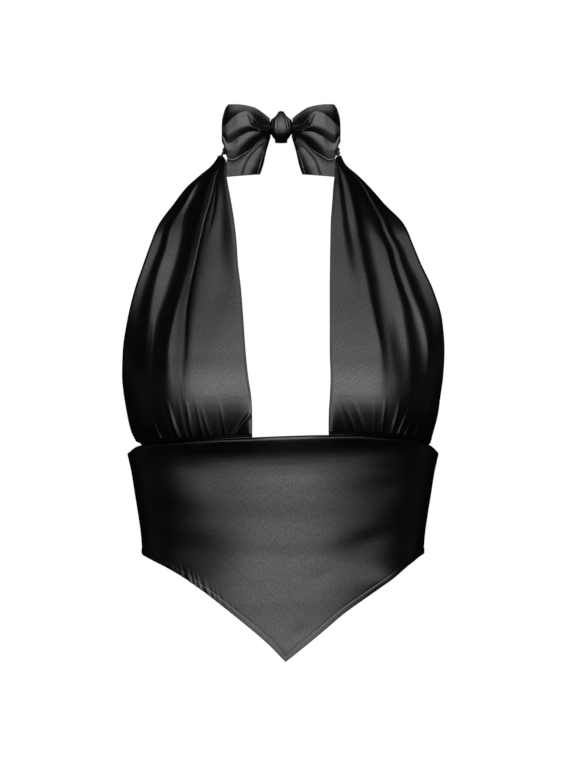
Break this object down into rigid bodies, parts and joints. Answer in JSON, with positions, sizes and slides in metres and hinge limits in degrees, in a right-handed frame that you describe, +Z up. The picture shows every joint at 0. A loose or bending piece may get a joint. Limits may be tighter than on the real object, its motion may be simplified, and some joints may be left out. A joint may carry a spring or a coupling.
{
  "type": "halter neck top",
  "caption": "Black satin halter neck top with gathered bust panels, an open plunge, a midriff band with a pointed hem, and neck ties in a bow.",
  "frame": {"origin": "middle of the neck opening, level with the bow, where the neck holds the ties", "axes": "+Z up, -Y towards the front of the wearer, +X to the right of someone who looks at the front"},
  "size_m": [0.2929, 0.2398, 0.5202],
  "materials": {
    "black_satin": "satin weave with a soft sheen"
  },
  "bodies": {
    "root": {"front_band": "black_satin", "back_band": "black_satin", "bust_panel_left": "black_satin", "bust_panel_right": "black_satin", "neck_tie_left": "black_satin", "neck_tie_right": "black_satin", "bow_loop_left": "black_satin", "bow_loop_right": "black_satin", "bow_tail_left": "black_satin", "bow_tail_right": "black_satin", "bow_knot": "black_satin"}
  },
  "joints": []
}
